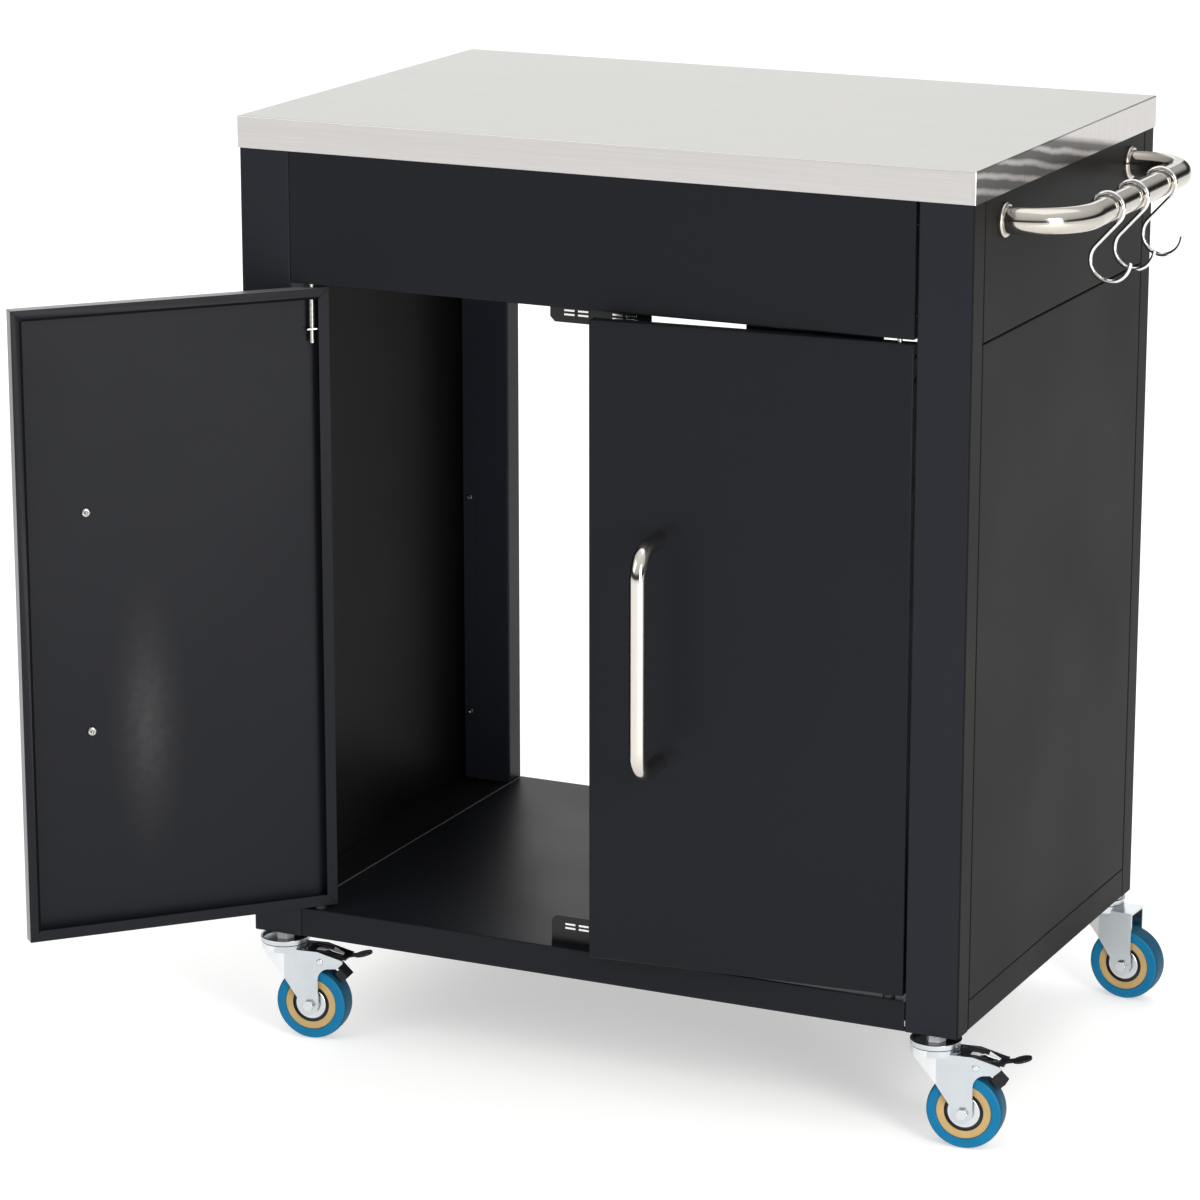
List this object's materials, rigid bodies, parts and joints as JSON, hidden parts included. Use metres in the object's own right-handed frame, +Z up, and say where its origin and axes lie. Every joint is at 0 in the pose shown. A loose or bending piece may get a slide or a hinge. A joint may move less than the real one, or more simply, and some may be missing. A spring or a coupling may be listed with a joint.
{
  "type": "kitchen cart",
  "caption": "Sheet-steel cabinet on swivel casters with a stainless worktop, hinged doors and a side handlebar with hooks.",
  "frame": {"origin": "on the floor under the middle of the cabinet's footprint", "axes": "+X to the right seen from the front, where the handlebar is; +Y to the back; +Z up"},
  "size_m": [0.9928, 0.7308, 0.94],
  "materials": {
    "stainless_sheet": "fine brushed stainless",
    "stainless_tube": "satin stainless",
    "charcoal_paint": "satin powder coat, fine texture",
    "black_paint": "satin black",
    "zinc_plate": "bright zinc plate",
    "spring_wire": "bright wire",
    "magnet_steel": "bright plated",
    "ball_steel": "polished",
    "blue_tyre": "matt",
    "tan_core": "satin moulded",
    "black_plastic": "satin",
    "black_rubber": "matt"
  },
  "bodies": {
    "cart": {"worktop": "stainless_sheet", "worktop_stiffeners": "charcoal_paint", "post_front_left": "charcoal_paint", "post_front_right": "charcoal_paint", "post_rear_left": "charcoal_paint", "post_rear_right": "charcoal_paint", "fascia": "charcoal_paint", "rear_upper_panel": "charcoal_paint", "upper_side_panel_left": "charcoal_paint", "upper_side_panel_right": "charcoal_paint", "lower_side_panel_left": "charcoal_paint", "lower_side_panel_right": "charcoal_paint", "side_base_rails": "charcoal_paint", "shelf": "charcoal_paint", "catch_brackets": "black_paint", "catch_magnets": "magnet_steel", "handlebar": "stainless_tube", "handlebar_flanges": "stainless_tube", "handlebar_bolts": "zinc_plate", "panel_screws": "zinc_plate", "lower_hinge_pins": "zinc_plate", "hinge_washers": "black_plastic", "caster_stems": "zinc_plate", "caster_races": "zinc_plate", "swivel_balls": "ball_steel"},
    "left_door": {"left_door": "charcoal_paint", "left_handle": "stainless_tube", "left_handle_screws": "zinc_plate", "left_spring_bracket": "zinc_plate", "left_hinge_spring": "spring_wire"},
    "left_pin": {"left_hinge_pin": "zinc_plate"},
    "right_door": {"right_door": "charcoal_paint", "right_handle": "stainless_tube", "right_handle_screws": "zinc_plate", "right_spring_bracket": "zinc_plate", "right_hinge_spring": "spring_wire"},
    "right_pin": {"right_hinge_pin": "zinc_plate"},
    "front_left_swivel": {"front_left_fork": "zinc_plate", "front_left_axle": "zinc_plate"},
    "front_left_wheel": {"front_left_tyre": "blue_tyre", "front_left_core": "tan_core"},
    "front_left_brake": {"front_left_pedal": "black_paint", "front_left_shoe": "black_rubber"},
    "front_right_swivel": {"front_right_fork": "zinc_plate", "front_right_axle": "zinc_plate"},
    "front_right_wheel": {"front_right_tyre": "blue_tyre", "front_right_core": "tan_core"},
    "front_right_brake": {"front_right_pedal": "black_paint", "front_right_shoe": "black_rubber"},
    "rear_left_swivel": {"rear_left_fork": "zinc_plate", "rear_left_axle": "zinc_plate"},
    "rear_left_wheel": {"rear_left_tyre": "blue_tyre", "rear_left_core": "tan_core"},
    "rear_right_swivel": {"rear_right_fork": "zinc_plate", "rear_right_axle": "zinc_plate"},
    "rear_right_wheel": {"rear_right_tyre": "blue_tyre", "rear_right_core": "tan_core"},
    "hook_front": {"hook_front": "stainless_tube"},
    "hook_middle": {"hook_middle": "stainless_tube"},
    "hook_rear": {"hook_rear": "stainless_tube"}
  },
  "joints": [
    {"name": "left_door_hinge", "type": "hinge", "parent": "cart", "child": "left_door", "pos_m": [-0.307, -0.2425, 0.46], "axis": [0, 0, -1], "range_deg": [-132.5, 2.5]},
    {"name": "right_door_hinge", "type": "hinge", "parent": "cart", "child": "right_door", "pos_m": [0.307, -0.2425, 0.46], "axis": [0, 0, 1], "range_deg": [-4.5, 130.5]},
    {"name": "left_pin_slide", "type": "slide", "parent": "left_door", "child": "left_pin", "axis": [0, 0, 1], "range_m": [-0.012, 0], "stiffness_N_per_m": 300, "springref_m": 0.01, "deforming": ["left_hinge_spring"]},
    {"name": "right_pin_slide", "type": "slide", "parent": "right_door", "child": "right_pin", "axis": [0, 0, 1], "range_m": [-0.012, 0], "stiffness_N_per_m": 300, "springref_m": 0.01, "deforming": ["right_hinge_spring"]},
    {"name": "front_left_swivel", "type": "hinge", "parent": "cart", "child": "front_left_swivel", "pos_m": [-0.353, -0.23575, 0.095], "axis": [0, 0, 1], "continuous": true},
    {"name": "front_left_wheel_spin", "type": "hinge", "parent": "front_left_swivel", "child": "front_left_wheel", "pos_m": [-0.3223, -0.23144, 0.0375], "axis": [-0.1392, 0.9903, 0], "continuous": true},
    {"name": "front_left_pedal_press", "type": "hinge", "parent": "front_left_swivel", "child": "front_left_brake", "pos_m": [-0.31042, -0.22977, 0.0845], "axis": [-0.1392, 0.9903, 0], "range_deg": [0, 7.5]},
    {"name": "front_right_swivel", "type": "hinge", "parent": "cart", "child": "front_right_swivel", "pos_m": [0.353, -0.23575, 0.095], "axis": [0, 0, 1], "continuous": true},
    {"name": "front_right_wheel_spin", "type": "hinge", "parent": "front_right_swivel", "child": "front_right_wheel", "pos_m": [0.38377, -0.23197, 0.0375], "axis": [-0.1219, 0.9925, 0], "continuous": true},
    {"name": "front_right_pedal_press", "type": "hinge", "parent": "front_right_swivel", "child": "front_right_brake", "pos_m": [0.39568, -0.23051, 0.0845], "axis": [-0.1219, 0.9925, 0], "range_deg": [0, 7.5]},
    {"name": "rear_left_swivel", "type": "hinge", "parent": "cart", "child": "rear_left_swivel", "pos_m": [-0.353, 0.23575, 0.095], "axis": [0, 0, 1], "continuous": true},
    {"name": "rear_left_wheel_spin", "type": "hinge", "parent": "rear_left_swivel", "child": "rear_left_wheel", "pos_m": [-0.32208, 0.23791, 0.0375], "axis": [-0.0698, 0.9976, 0], "continuous": true},
    {"name": "rear_right_swivel", "type": "hinge", "parent": "cart", "child": "rear_right_swivel", "pos_m": [0.353, 0.23575, 0.095], "axis": [0, 0, 1], "continuous": true},
    {"name": "rear_right_wheel_spin", "type": "hinge", "parent": "rear_right_swivel", "child": "rear_right_wheel", "pos_m": [0.38396, 0.23413, 0.0375], "axis": [0.0523, 0.9986, 0], "continuous": true},
    {"name": "hook_front_swing", "type": "hinge", "parent": "cart", "child": "hook_front", "pos_m": [0.447, -0.078, 0.884], "axis": [0, 1, 0], "range_deg": [-55, 55]},
    {"name": "hook_middle_swing", "type": "hinge", "parent": "cart", "child": "hook_middle", "pos_m": [0.447, -0.009, 0.884], "axis": [0, 1, 0], "range_deg": [-55, 55]},
    {"name": "hook_rear_swing", "type": "hinge", "parent": "cart", "child": "hook_rear", "pos_m": [0.447, 0.073, 0.884], "axis": [0, 1, 0], "range_deg": [-55, 55]}
  ]
}
